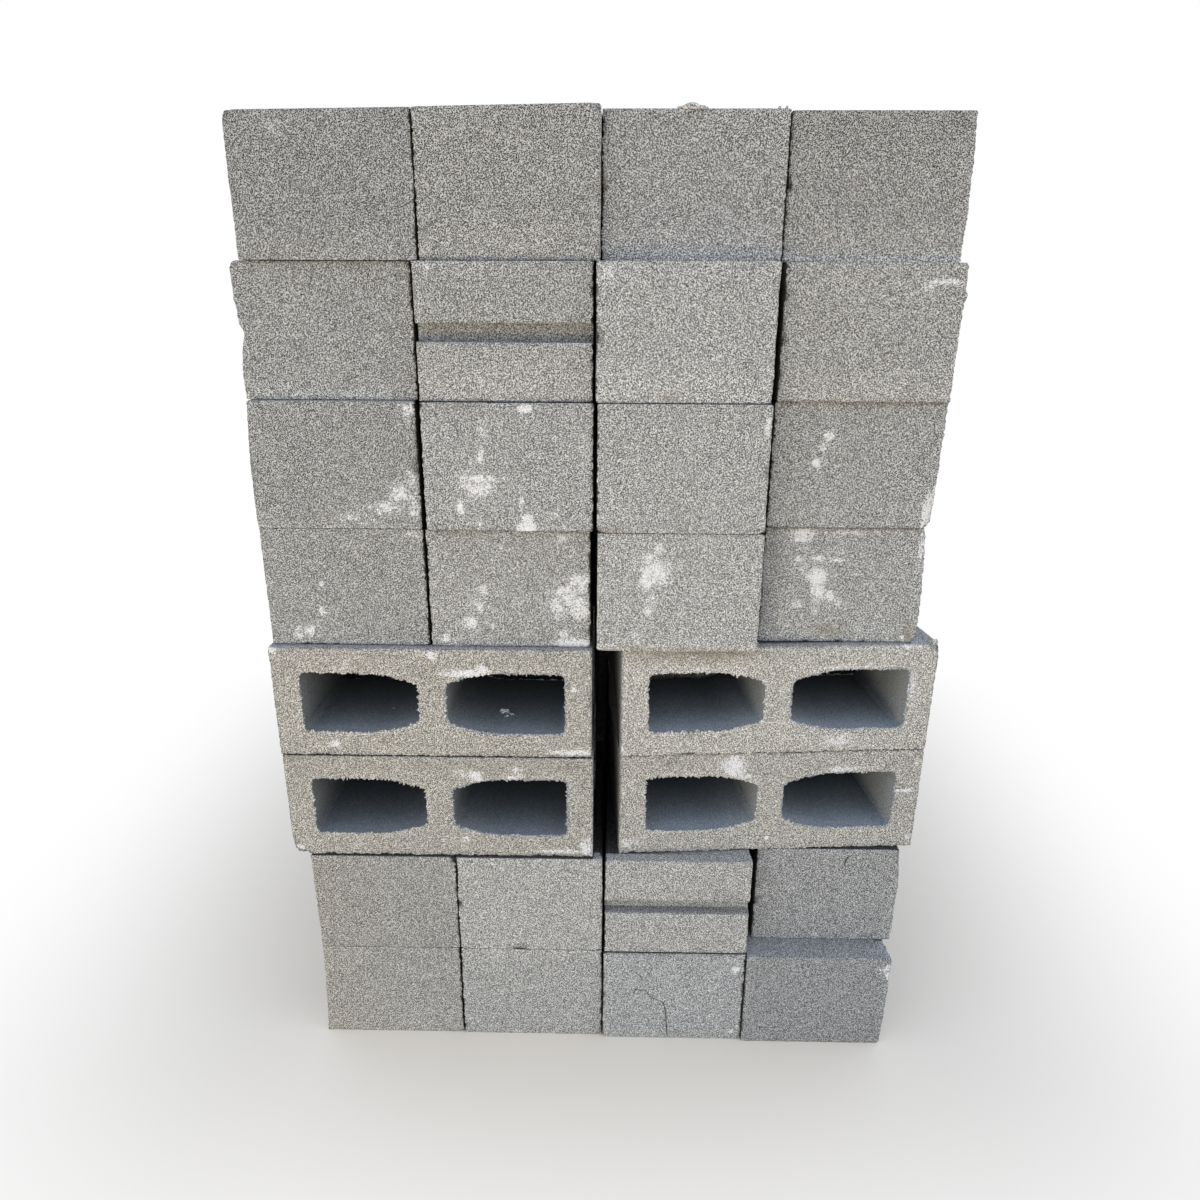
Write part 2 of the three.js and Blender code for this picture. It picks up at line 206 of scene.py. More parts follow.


# What time and handling left on each front face, and the light and shade painted on it. Places are
# millimetres to the right and up from the face's lower left corner. Bloom, earth, dark and pale
# marks: (right, up, half width, half height, strength). The pale marks are painted light that lifts
# the shade along the joints and by the ledges; the dark marks are painted shade along the joints
# and beside a block that stands forward, with a few small dark spots. Chips: (right, up, reach,
# depth).
# Left and right, how far that side strays to the right: (up, rightwards). Top, how much too high it
# is: (right, upwards). Cracks: half width, then the points they follow. Crumbs, loose bits lying on
# a ledge or core floor: (right, up, behind the front, length, height, tone). Tone and warmth set
# the whole block apart from its neighbours, partly as the blocks differ and partly as painted light
# and shade that follow how brightly and warmly each block is lit; core lifts its core walls with
# painted light, and brown browns its left side.
MARKS = {
    "course_8_block_1": {
        "bloom": [(55, 125, 15, 15, 0.35), (12, 85, 3, 25, 0.2)], "pale": [band(0, 22, 0.3)],
        "chips": [(0, 143, 13, 5)], "top": [(0, -4), (194, -1.5)], "right": [(0, -2), (143, -0.5)],
        "tone": 0.825,
    },
    "course_8_block_2": {
        "top": [(0, -1), (194, 2.5)], "chips": [(194, 143, 9, 4)], "pale": [band(0, 22, 0.35)],
    },
    "course_8_block_3": {
        "chips": [(0, 70, 7, 5)], "pale": [band(9, 8, 1.0), band(20, 12, 0.3)],
        "crumbs": [(95, 143, 6, 27, 5, 1.1), (182, 143, 4, 4, 2.5, 1.1),
         (189, 143, 4, 3.5, 2.5, 1.1)], "tone": 0.96,
    },
    "course_8_block_4": {
        "chips": [(0, 73, 9, 5)], "pale": [band(0, 8, 1.9), band(20, 12, 0.3)],
        "dark": [band(143, 25, 0.2)], "right": [(0, 0), (20, -1), (45, 1), (60, 0), (105, -1),
         (143, -3)],
    },
    "course_7_block_1": {
        "left": [(5, -1.5), (30, -1.5), (45, 0), (60, 2.5), (66, 5), (71, 5.5), (80, 0), (97, 0),
         (103, -2), (138, -2), (143, 4)], "pale": [band(0, 5, 1.6), band(10, 12, 0.3)],
        "tone": 0.925,
    },
    "course_7_block_2": {
        "bloom": [(15, 135, 6, 6, 0.5), (50, 135, 4, 4, 0.3)], "earth": [(65, 2, 10, 2, 0.6)],
        "pale": [band(0, 35, 0.5)], "tone": 0.98,
    },
    "course_7_block_3": {
        "bloom": [(13, 132, 6, 9, 0.6)], "pale": [band(0, 22, 0.32)], "earth": [(80, 6, 7, 4, 0.7)],
        "chips": [(0, 69, 11, 6)], "tone": 1.12,
    },
    "course_7_block_4": {
        "bloom": [(172, 124, 15, 2.5, 1.0), (154, 119, 6, 4, 0.8)], "pale": [band(0, 22, 0.28)],
        "earth": [(97, 2, 95, 3, 0.25)], "dark": [band(0, 1.3, 0.9)], "chips": [(0, 67, 11, 5),
         (0, 110, 9, 4), (0, 28, 8, 3)], "right": [(0, 0), (102, 0), (110, 2.5), (118, 0.5),
         (138, 0.5), (143, -1)], "tone": 1.04, "warmth": 0.1,
    },
    "course_6_block_1": {
        "bloom": [(186, 134, 8, 9, 0.7), (176, 125, 2, 6, 0.5), (184, 58, 8, 12, 0.6),
         (172, 40, 18, 14, 0.6), (150, 25, 20, 10, 0.6), (115, 12, 30, 9, 0.45),
         (185, 25, 10, 20, 0.5), (15, 3, 12, 3, 0.4)], "chips": [(194, 72, 14, 4)],
        "right": [(0, -1), (143, -1.5)], "pale": [band(0, 3, 0.5)], "tone": 0.89,
        "left": [(0, -1.5), (60, -1.5), (100, 0), (143, 3)],
    },
    "course_6_block_2": {
        "bloom": [(117, 137, 6, 4, 1.3), (33, 135, 12, 7, 0.15), (28, 120, 3, 15, 0.4),
         (74, 122, 2, 18, 0.6), (70, 112, 5, 7, 0.6), (66, 85, 4, 10, 0.65), (55, 80, 4, 5, 0.5),
         (63, 61, 20, 3, 0.8), (62, 50, 13, 12, 0.85), (45, 57, 5, 6, 0.8), (80, 60, 5, 4, 0.6),
         (40, 28, 4, 5, 1.0), (43, 22, 3, 3, 0.8), (117, 4, 9, 5, 1.3), (118, 12, 5, 6, 1.2),
         (112, 35, 3, 15, 0.6), (150, 18, 8, 7, 0.45), (158, 5, 8, 4, 0.5), (63, 10, 6, 12, 0.4),
         (183, 95, 8, 35, 0.3)], "dark": [band(143, 15, 0.2), band(0, 1.3, 0.9)],
        "earth": [(45, 2, 45, 3, 0.15), (28, 141, 28, 2, 0.3)], "tone": 1.06,
    },
    "course_6_block_3": {
        "bloom": [(190, 123, 4, 12, 0.8)], "earth": [(14, 3, 12, 4, 0.8)],
        "dark": [band(143, 20, 0.13)], "chips": [(194, 69, 9, 4), (0, 0, 10, 3), (194, 0, 7, 4)],
        "tone": 1.11,
    },
    "course_6_block_4": {
        "bloom": [(52, 76, 5, 4, 1.1), (58, 94, 4, 4, 0.9), (64, 106, 5, 4, 1.0),
         (189, 18, 6, 17, 1.35), (192, 42, 2, 9, 0.9)], "chips": [(194, 16, 20, 7), (194, 2, 9, 5)],
        "right": [(0, -3), (5, 0), (75, 0), (100, 1), (143, 1)], "pale": [band(143, 5, 0.3)],
        "dark": [band(0, 1.3, 1.0)], "tone": 1.02,
    },
    "course_5_block_1": {
        "bloom": [(183, 137, 14, 5, 0.5), (165, 130, 5, 5, 0.3), (68, 75, 4, 6, 0.6),
         (66, 42, 5, 8, 0.65), (45, 18, 20, 12, 0.5), (35, 12, 15, 8, 0.5), (75, 12, 10, 8, 0.35)],
        "chips": [(42, 0, 6, 3), (60, 0, 7, 3), (78, 0, 5, 3)], "pale": [band(0, 3, 0.8)],
        "tone": 0.93,
    },
    "course_5_block_2": {
        "bloom": [(65, 70, 7, 8, 0.6), (60, 52, 6, 10, 0.6), (72, 50, 3, 3, 0.6),
         (80, 45, 3, 3, 0.6), (48, 30, 7, 6, 1.0), (58, 20, 3, 3, 0.6), (76, 26, 3, 3, 0.7),
         (17, 10, 5, 5, 0.8), (30, 5, 3, 3, 0.6), (182, 80, 12, 10, 0.9), (165, 65, 16, 14, 0.75),
         (155, 50, 10, 12, 0.7), (180, 50, 12, 14, 0.8), (162, 15, 6, 8, 0.7), (172, 5, 18, 5, 1.1),
         (160, 133, 8, 6, 0.6), (88, 122, 2, 2, 0.8)], "earth": [(40, 140, 20, 3, 0.3)],
        "pale": [band(143, 4, 0.2)], "chips": [(194, 74, 9, 5)], "tone": 1.04, "warmth": 0.1,
    },
    "course_5_block_3": {
        "bloom": [(68, 98, 13, 12, 1.1), (60, 112, 8, 8, 0.8), (72, 125, 5, 6, 0.7),
         (57, 85, 6, 8, 1.0), (75, 88, 10, 8, 0.55), (85, 105, 8, 6, 0.4), (65, 65, 5, 6, 0.6),
         (60, 50, 5, 5, 0.8), (45, 20, 8, 5, 0.5), (48, 12, 4, 4, 0.6), (25, 15, 5, 5, 0.3)],
        "earth": [(105, 2, 85, 3, 0.6), (45, 3, 20, 4, 0.8)], "pale": [band(3, 4, 0.5)],
        "dark": [band(143, 2, 0.35)], "tone": 1.16,
    },
    "course_5_block_4": {
        "bloom": [(67, 82, 10, 9, 1.2), (70, 62, 9, 10, 0.9), (85, 58, 8, 6, 0.8),
         (95, 50, 5, 5, 0.6), (48, 92, 8, 8, 0.4), (44, 104, 6, 3, 0.9), (68, 105, 8, 3, 0.9),
         (90, 103, 12, 3, 0.6), (44, 48, 6, 5, 0.8), (66, 40, 6, 6, 0.5), (35, 20, 6, 5, 0.5),
         (45, 128, 10, 3, 0.8), (45, 136, 18, 4, 0.85), (110, 137, 40, 3, 0.62),
         (160, 137, 18, 3, 0.55), (189, 120, 3, 14, 1.1), (178, 6, 3, 3, 0.9)],
        "pale": [band(8, 14, 0.2)], "tone": 1.07, "earth": [(85, 15, 18, 7, 0.8),
         (185, 10, 8, 10, 0.9)], "dark": [band(143, 1.5, 0.9), (0, 70, 16, 90, 0.35)],
        "cracks": [(0.6, (186, 135), (188, 122), (193, 105))], "chips": [(100, 0, 7, 3),
         (130, 0, 6, 3), (60, 0, 6, 2)], "right": [(3, 0), (30, 3), (60, 2.5), (105, 0), (135, -3),
         (143, -5)],
    },
    "course_4_block_1": {
        "bloom": [(5, 141, 5, 4, 0.9), (201, 136, 6, 4, 1.1), (190, 139, 6, 3, 0.5),
         (243, 112, 24, 4, 1.2), (262, 117, 8, 5, 1.0), (72, 16, 8, 5, 0.7), (85, 118, 10, 4, 0.5),
         (322, 116, 28, 3, 0.4), (375, 92, 5, 4, 0.6), (372, 7, 22, 3, 1.1)],
        "crumbs": [(280, 31, 72, 11, 7, 1.8), (291, 31, 66, 5, 4, 1.8), (284, 31, 58, 6, 3, 1.5),
         (130, 31, 80, 4, 3, 1.4)], "tone": 0.94, "core": 1.05,
    },
    "course_4_block_2": {
        "bloom": [(280, 15, 20, 10, 0.6), (270, 22, 6, 4, 0.5), (300, 8, 6, 4, 0.4),
         (357, 141, 13, 2, 0.8), (368, 85, 8, 25, 0.5), (2, 12, 2, 8, 0.7), (178, 92, 3, 3, 0.5),
         (155, 5, 4, 3, 0.4), (100, 115, 12, 4, 0.6), (292, 115, 55, 2.5, 0.55)],
        "earth": [(82, 134, 82, 6, 0.7)], "dark": [(90, 28, 6, 5, 0.7), (265, 31, 5, 4, 0.5),
         (365, 73, 4, 4, 0.5), (105, 137, 55, 1.5, 0.7)], "chips": [(397, 143, 13, 6)],
        "crumbs": [(391, 143, 5, 8, 6, 1.1), (384, 143, 12, 4, 3, 1.1)], "core": 1.22, "tone": 1.11,
    },
    "course_3_block_1": {
        "bloom": [(8, 10, 8, 4, 0.8), (145, 125, 6, 8, 0.4), (228, 122, 8, 8, 0.55),
         (245, 118, 10, 6, 0.85), (250, 112, 8, 4, 0.8), (300, 125, 10, 9, 0.6),
         (330, 122, 8, 5, 0.3), (295, 115, 15, 4, 0.6), (390, 15, 8, 12, 0.8), (230, 25, 5, 5, 0.6),
         (355, 8, 35, 3, 0.7)], "earth": [(30, 140, 30, 3, 0.7), (190, 131, 190, 8, 0.3)],
        "dark": [(355, 130, 3, 3, 0.7), (365, 130, 3, 3, 0.7)], "chips": [(0, 0, 24, 10)],
        "tone": 0.915, "warmth": 0.1,
    },
    "course_3_block_2": {
        "bloom": [(148, 125, 12, 12, 1.1), (160, 110, 10, 5, 0.7), (295, 117, 35, 5, 0.5),
         (377, 84, 13, 2, 1.1), (12, 15, 14, 6, 0.6), (5, 90, 4, 5, 0.5), (208, 72, 2, 2, 0.9),
         (198, 18, 2, 2, 1.5), (347, 15, 4, 10, 0.5), (388, 125, 5, 5, 0.6), (390, 15, 5, 5, 0.6)],
        "dark": [(147, 130, 3, 3, 0.9), (255, 120, 12, 6, 0.4), (70, 130, 20, 6, 0.3)], "core": 1.3,
        "tone": 0.99, "warmth": -0.1,
    },
    "course_2_block_1": {
        "chips": [(194, 143, 10, 5), (0, 70, 6, 4)], "left": [(0, 4), (20, 4), (100, 3), (143, 2)],
        "tone": 0.915, "warmth": 0.25, "brown": 0.55,
    },
    "course_2_block_2": {"tone": 1.135, "warmth": 0.12, "chips": [(0, 71, 9, 5), (82, 0, 12, 4)]},
    "course_2_block_3": {
        "bloom": [(88, 67, 2, 2, 1.2)], "earth": [(97, 80, 97, 3, 0.5)],
        "chips": [(194, 73, 13, 6)], "tone": 1.11,
    },
    "course_2_block_4": {
        "bloom": [(189, 126, 4, 11, 0.5)], "cracks": [(1.0, (122, 132), (120, 124), (118, 118)),
         (1.0, (118, 125), (123, 131), (128, 135))], "chips": [(0, 63, 11, 5), (194, 128, 14, 5)],
        "right": [(0, 0), (60, 0), (85, 1), (110, -0.5), (143, -4)], "tone": 0.92, "warmth": -0.15,
    },
    "course_1_block_1": {
        "dark": [(193, 3, 4, 5, 0.7)], "pale": [band(12, 22, 0.2)], "tone": 0.96, "warmth": 0.25,
        "brown": 0.55,
        "bloom": [(190, 133, 2, 2, 0.8), (187, 80, 2, 2, 0.7)], "left": [(3, -1.5), (10, 0),
         (50, 2), (100, 4), (143, 5)],
    },
    "course_1_block_2": {
        "bloom": [(8, 25, 2, 2, 0.9)], "pale": [band(143, 10, 0.25)], "tone": 1.06, "warmth": 0.05,
    },
    "course_1_block_3": {
        "bloom": [(182, 118, 4, 5, 1.1), (181, 13, 3, 3, 1.0), (189, 22, 3, 2, 0.8),
         (170, 132, 20, 8, 0.3)], "cracks": [(0.9, (43, 78), (45, 83), (52, 82), (58, 82), (63, 75),
         (70, 68), (80, 64), (84, 60), (88, 48), (89.5, 30), (90.5, 15), (92, 0)), (0.5, (40, 115),
         (47, 108), (55, 103))], "chips": [(0, 72, 7, 4)], "dark": [band(143, 2.5, 0.5)],
        "tone": 1.07, "warmth": -0.25,
    },
    "course_1_block_4": {
        "bloom": [(190, 128, 3, 4, 1.1), (191, 118, 3, 4, 1.0), (193, 110, 2, 3, 1.0),
         (184, 124, 4, 4, 0.6)], "right": [(0, 0.5), (30, 1.5), (90, 3), (135, 3), (143, 2)],
        "tone": 0.84, "warmth": -0.3,
    },
}


# ------------------------ one sound block


# How many straight steps make up the curve of a core's flare.
FLARE_STEPS = 7


def finish_mesh(name, bm):
    """Makes a mesh of this name from a bmesh, which ends with it."""
    mesh = bpy.data.meshes.new(name)
    bm.to_mesh(mesh)
    bm.free()
    return mesh


def bend(start, corner, end, steps=5):
    """Points of a bent corner, without its end."""
    points = []
    for i in range(steps):
        t = i / steps
        points.append(tuple(
            a * (1 - t) ** 2 + 2 * b * t * (1 - t) + c * t * t
            for a, b, c in zip(start, corner, end)
        ))
    return points


def core_outline(sizes, side):
    """A core seen along its run: straight by the end web, and drawn in along a curve towards the
    centre web."""
    inner, outer = sizes.centre_web / 2, HALF.x - sizes.end_web
    tall = HALF.z - sizes.face_shell
    narrow = tall - sizes.flare
    end_r, r = sizes.end_bend, sizes.centre_bend
    starts, stops = inner + sizes.flare_length, inner + r
    turn = starts + sizes.flare_bend * (stops - starts)
    corner = narrow - r * sizes.flare / (turn - stops)
    upper = bend((outer, tall - end_r), (outer, tall), (outer - end_r, tall))
    upper += [(outer - end_r, tall)]
    upper += bend((starts, tall), (turn, tall), (stops, narrow), FLARE_STEPS)
    upper += bend((stops, narrow), (inner, corner), (inner, corner - r))
    upper += [(inner, corner - r)]
    points = upper + [(x, -z) for x, z in reversed(upper)]
    return [(side * x, z) for x, z in points]


def block_outline(sizes, sash):
    points = [(HALF.x, -HALF.z), (HALF.x, HALF.z), (-HALF.x, HALF.z)]
    if sash:
        g = sizes.groove
        points += [(-HALF.x, g / 2), (-HALF.x + g, g / 2), (-HALF.x + g, -g / 2), (-HALF.x, -g / 2)]
    return points + [(-HALF.x, -HALF.z)]


def from_line(x, z, start, end):
    """The way to a point from the nearest point of a line between two others."""
    (ax, az), (bx, bz) = start, end
    ex, ez = bx - ax, bz - az
    t = max(0.0, min(1.0, ((x - ax) * ex + (z - az) * ez) / (ex * ex + ez * ez)))
    return x - ax - t * ex, z - az - t * ez


def to_outline(x, z, outline):
    """Distance from a point to an outline, and the direction from the outline to the point."""
    best, away = math.inf, (0.0, 0.0)
    for start, end in zip(outline, outline[1:] + outline[:1]):
        dx, dz = from_line(x, z, start, end)
        d = math.hypot(dx, dz)
        if d < best:
            best = d
            if d > 1e-4:
                away = (dx / d, dz / d)
            else:
                ex, ez = end[0] - start[0], end[1] - start[1]
                length = math.hypot(ex, ez)
                away = (ez / length, -ex / length)
    return best, away


def corners(item):
    return [item] if isinstance(item, bmesh.types.BMVert) else item.verts


def slice_along(bm, axis, places, keep=None):
    """Cuts the faces across an axis at each place, from low to high: all, or those to keep."""
    normal = Vector((0, 0, 0))
    normal[axis] = 1.0
    geom = bm.verts[:] + bm.edges[:] + bm.faces[:]
    if keep:
        geom = [item for item in geom if all(keep(v.co) for v in corners(item))]
    for place in sorted(places):
        spot = Vector((0, 0, 0))
        spot[axis] = place
        cut = bmesh.ops.bisect_plane(bm, geom=geom, plane_co=spot, plane_no=normal, dist=1e-4)
        done = place - 1e-3
        geom = [item for item in cut["geom"] if all(v.co[axis] >= done for v in corners(item))]


# How far inside the outline a core's own vertices are, how far outside a core's sizes its walls may
# stray, and how far from a rim and into a core the wear of a rim reaches, in millimetres.
INSIDE = 5.0
IN_CORE = 2.0
RIM_ZONE = 14.0
FIN_DEPTH = 12.0

# Depths of the cuts beside an arris or rim, in millimetres, where it is cut finely and elsewhere.
RINGS = (1.0, 2.5, 4.5, 7.5, 12.0, 19.0)
COARSE_RINGS = (1.5, 4.5, 12.0)
FINE_PITCH = 3.0


def cut_face(bm, face, pitch, whole):
    """Cuts a face finely, over its whole area or beside its arrises only."""
    axis, side = face
    rings = RINGS if pitch < FINE_PITCH else COARSE_RINGS
    reach = rings[-1] + 0.01

    def on_face(co):
        return side * co[axis] >= HALF[axis] - reach

    others = [other for other in range(3) if other != axis]
    slice_along(bm, axis, [side * (HALF[axis] - depth) for depth in rings])
    for other in others:
        beside = rings[:3] if whole else rings
        edges = [sign * (HALF[other] - depth) for depth in beside for sign in (-1, 1)]
        slice_along(bm, other, edges, on_face)
    for other, third in (others, others[::-1]):
        count = round(2 * HALF[other] / pitch)
        even = [-HALF[other] + i * 2 * HALF[other] / count for i in range(1, count)]
        even = [place for place in even if abs(place) < HALF[other] - beside[-1] - pitch / 3]

        def beside_third(co):
            return on_face(co) and abs(co[third]) >= HALF[third] - reach

        slice_along(bm, other, even, on_face if whole else beside_third)


def on_front(co, end_on):
    """A place on the front face, to the right and up from its lower left corner."""
    return (HALF.y - co[1] if end_on else HALF.x + co[0]), co[2] + HALF.z


def crack_distance(right, up, cracks):
    """How near a place is to a crack: 1 in the middle of it, 0 at its edge."""
    nearest = 0.0
    for half_width, *points in cracks:
        for start, end in zip(points, points[1:]):
            d = math.hypot(*from_line(right, up, start, end))
            nearest = max(nearest, 1 - d / half_width)
    return nearest


# How far from a crack the face is cut again, each time in half, in millimetres.
CRACK_REACHES = (4.5, 3.2, 2.2)


def refine_cracks(bm, cracks, end_on):
    """Cuts the front face more finely along its cracks."""
    axis = 0 if end_on else 1
    for reach in CRACK_REACHES:
        wide = [(reach, *points) for _, *points in cracks]
        edges = set()
        for face in bm.faces:
            middle = face.calc_center_median()
            on_face = middle[axis] <= -HALF[axis] + 0.01
            if on_face and crack_distance(*on_front(middle, end_on), wide) > 0:
                edges.update(face.edges)
        bmesh.ops.subdivide_edges(bm, edges=list(edges), cuts=1, use_grid_fill=True)


def block_mesh(sizes, sash, fine, cracks):
    """One sound block, cut finely by the faces that show, and each vertex's way to a core rim."""
    bm = bmesh.new()
    cores = [core_outline(sizes, side) for side in (-1, 1)]
    edges = []
    for loop in [block_outline(sizes, sash)] + cores:
        verts = [bm.verts.new((x, -HALF.y, z)) for x, z in loop]
        edges += [bm.edges.new(pair) for pair in zip(verts, verts[1:] + verts[:1])]
    bmesh.ops.triangle_fill(bm, edges=edges, use_beauty=True, use_dissolve=False, normal=(0, -1, 0))
    inside = [edge for edge in bm.edges if len(edge.link_faces) == 2]
    bmesh.ops.dissolve_limit(bm, angle_limit=0.01, verts=[], edges=inside)
    raised = bmesh.ops.extrude_face_region(bm, geom=bm.faces[:])
    top = [item for item in raised["geom"] if isinstance(item, bmesh.types.BMVert)]
    bmesh.ops.translate(bm, vec=(0, BLOCK.y, 0), verts=top)
    for core in cores:
        left, right = min(x for x, _ in core), max(x for x, _ in core)
        middle = Vector(((left + right) / 2, 0, 0))
        wide, tall = right - left, 2 * (HALF.z - sizes.face_shell)
        shrink = (1 - 2 * sizes.taper / wide, 1, 1 - 2 * sizes.taper / tall)
        ring = [v for v in top if left - 0.1 < v.co.x < right + 0.1]
        ring = [v for v in ring if abs(v.co.z) < HALF.z - INSIDE]
        bmesh.ops.scale(bm, vec=shrink, space=Matrix.Translation(-middle), verts=ring)
    bmesh.ops.recalc_face_normals(bm, faces=bm.faces)
    for face in bm.faces:
        face.smooth = True
        middle = face.calc_center_median()
        if abs(face.normal.y) > 0.9:
            face.material_index = TAMPED
        elif abs(middle.x) < HALF.x - sizes.end_web + IN_CORE and abs(middle.z) < HALF.z - IN_CORE:
            face.material_index = CORED
        else:
            face.material_index = MOULDED
    for face, (pitch, whole) in fine.items():
        cut_face(bm, face, pitch, whole)
    if cracks:
        refine_cracks(bm, cracks, END_FRONT in fine)
    mesh = finish_mesh("sound_block", bm)
    rims = []
    for vertex in mesh.vertices:
        x, y, z = vertex.co
        rims.append(None)
        in_mouth = HALF.y - abs(y) < FIN_DEPTH + 0.01
        if in_mouth and abs(x) < HALF.x - RIM_ZONE - 1 and abs(z) < HALF.z - RIM_ZONE - 1:
            tapered = sizes.taper * (y + HALF.y) / BLOCK.y
            gap, away = to_outline(x, z, cores[0] if x < 0 else cores[1])
            if gap < RIM_ZONE:
                rims[-1] = (max(0.0, gap - tapered), away)
    return mesh, rims


# ------------------------ wear


def wave(point, size, seed=0.0):
    """Smooth noise of about -1 to 1 whose bumps are about this many millimetres wide."""
    return noise.noise(point / size + Vector((seed, seed * 1.7, -seed)))


# Widths of the patterns of wear, in millimetres: the sway of a cap, the change of its rounding, the
# grains lost from an arris, the chips knocked off it, the roughness inside a chip, and the teeth
# along an arris and a rim.
SWAYS, ROUNDINGS, GRAINS, KNOCKS, ROUGHNESS, ARRIS_TEETH, RIM_TEETH = 38, 23, 4.2, 17, 5, 3.2, 2.0

# How far from an arris each part of its wear reaches, in millimetres: any of it, that which a cap
# adds, the teeth, and the same for a rim, along the cap and into the core.
ARRIS_REACH, CAP_REACH, TEETH_REACH = 12, 9, 5
RIM_REACH, RIM_DEPTH = 6, 7
LEAST_RADIUS = 0.4

# How much of a cap's wear a calm block has on its back cap.
CALM = 0.35


def arris_radius(spot, cap, wear):
    """Radius of an arris: crisp where the mould made it, crumbling beside a cap."""
    wider = cap * (wear.cap_edge - wear.mould_edge)
    sound = wear.mould_edge + wider * (1 + 0.9 * wave(spot, ROUNDINGS))
    grains = max(0.0, wave(spot, GRAINS, 5) - 0.12 + 0.1 * cap)
    lost = wear.nibble * (0.35 + 0.65 * cap) * 2.2 * grains
    knocked = wear.chip * (0.4 + 0.6 * cap) * 3 * max(0.0, wave(spot, KNOCKS, 9) - 0.46)
    return max(LEAST_RADIUS, sound + lost + knocked)


def near(gap, reach):
    """1 at an edge, 0 at this distance from it and beyond."""
    return max(0.0, 1 - gap / reach)


def round_off(gaps, radius):
    """How far a point moves along each axis when the edge near it is rounded to a radius."""
    q = [max(0.0, radius - gap) for gap in gaps]
    length = math.sqrt(sum(a * a for a in q))
    if length <= radius or length == 0:
        return [0.0] * len(gaps)
    return [a * (1 - radius / length) for a in q]


def tooth(spot, size, seed):
    """How far a crumbly edge is broken back at a place, as a share of its depth: fine teeth all
    along, deeper in some stretches than in others."""
    stretch = 0.9 + 0.7 * wave(spot, size * 7, seed + 1)
    return stretch * (0.2 + 1.3 * wave(spot, size, seed) + 0.9 * wave(spot, size * 0.6, seed + 5))


def worn(co, rim, wear, seed, chips, groove, calm, fin):
    """Where a vertex of a sound block lies on the worn one, how freshly broken it is there, and how
    deep in the hollow of a chip. A calm block kept the arris of its back cap sounder. A fin of
    squeezed-out concrete draws in the mouths of the cores."""
    gaps = [HALF[i] - abs(co[i]) for i in range(3)]
    spot = Vector(co) + seed
    moved = Vector(co)
    fresh = hollow = 0.0
    reach = RINGS[-1]
    if gaps[1] < reach:
        moved.y += math.copysign(wear.sway * (1 - gaps[1] / reach) * wave(spot, SWAYS, 2), co[1])
    if sorted(gaps)[1] < ARRIS_REACH:
        cap = near(gaps[1], CAP_REACH) * (CALM if calm and co[1] > 0 else 1.0)
        radius = arris_radius(spot, cap, wear)
        for place, wide, deep in chips:
            d = (Vector(co) - place).length / wide
            if d < 1:
                radius += deep * (1 - d * d) * (1 + 0.6 * wave(spot, ROUGHNESS, 6))
                hollow = max(hollow, 1 - d * d)
        steps = round_off(gaps, radius)
        bite = cap * near(min(gaps[0], gaps[2]), TEETH_REACH)
        steps[1] += bite * wear.bite * max(-0.1, tooth(spot, ARRIS_TEETH, 11))
        for axis, step in enumerate(steps):
            moved[axis] -= math.copysign(step, co[axis])
        fresh = max(0.35 * bite, min(0.5, max(steps) / 3)) * (1 - hollow)
    if rim:
        gap, away = rim
        beside = near(gap, RIM_REACH) * near(gaps[1], RIM_DEPTH)
        out, back = round_off([gap, gaps[1]], wear.cap_edge)
        out += wear.rim * beside * tooth(spot, RIM_TEETH, 3)
        if co[1] < 0:
            out -= fin * near(gap, RIM_ZONE) * near(gaps[1], FIN_DEPTH)
        moved.x += away[0] * out
        moved.z += away[1] * out
        moved.y -= math.copysign(back, co[1])
        # The upper rims are more freshly broken, and in a wider band.
        share, zone = (0.9, 9) if away[1] > 0.3 else (0.6, 5)
        fresh = max(fresh, share * near(gap, zone) * near(gaps[1], 4))
    if groove and co[0] < -HALF.x + ARRIS_REACH and abs(co[2]) < groove / 2 + ARRIS_REACH:
        lip = abs(co[2]) - groove / 2
        if lip > -0.01:
            radius = arris_radius(spot, 0.4, wear) + 0.6
            inward, outward = round_off([co[0] + HALF.x, max(0.0, lip)], radius)
            moved.x += inward
            moved.z += math.copysign(outward, co[2])
    return moved, fresh, hollow


def front_at(name, x):
    """Where a front block's front face lies at x, in metres."""
    low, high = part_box(name)
    turn = math.radians(TURNED_BLOCKS.get(name, 0.0))
    if not turn:
        return low[1]
    middle = (low[1] + high[1]) / 2 + math.tan(turn) * (x - (low[0] + high[0]) / 2)
    return middle - HALF.y * MM / math.cos(turn)


def seams_of(name):
    """Sides of a front block that lie against another: the side, the stretch of x that the other
    covers, in metres, and how far behind this front its own lies, in millimetres."""
    course, column = int(name.split("_")[1]), int(name.split("_")[3])
    low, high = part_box(name)
    found = []
    if course not in CROSSWISE_COURSES:
        for side, beside in (("left", column - 1), ("right", column + 1)):
            if 0 < beside <= COLUMNS:
                other = f"course_{course}_block_{beside}"
                found.append((side, -math.inf, math.inf, (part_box(other)[0][1] - low[1]) / MM))
    for side, nearby in (("down", course - 1), ("up", course + 1)):
        if nearby in COURSES:
            for other_column in range(1, 3 if nearby in CROSSWISE_COURSES else COLUMNS + 1):
                other = f"course_{nearby}_block_{other_column}"
                start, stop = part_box(other)[0][0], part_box(other)[1][0]
                middle = (max(start, low[0]) + min(stop, high[0])) / 2
                if start < high[0] and stop > low[0]:
                    behind = (front_at(other, middle) - front_at(name, middle)) / MM
                    found.append((side, start, stop, behind))
    return found


# Millimetres: how near its side a place touches the next block, how far behind that block's front a
# step counts as a ledge, and where the painted shade of a joint starts and how soon it is full.
AGAINST, LEDGE, SEAM_START, SEAM_FADE = 0.6, 10, 0.3, 1.2


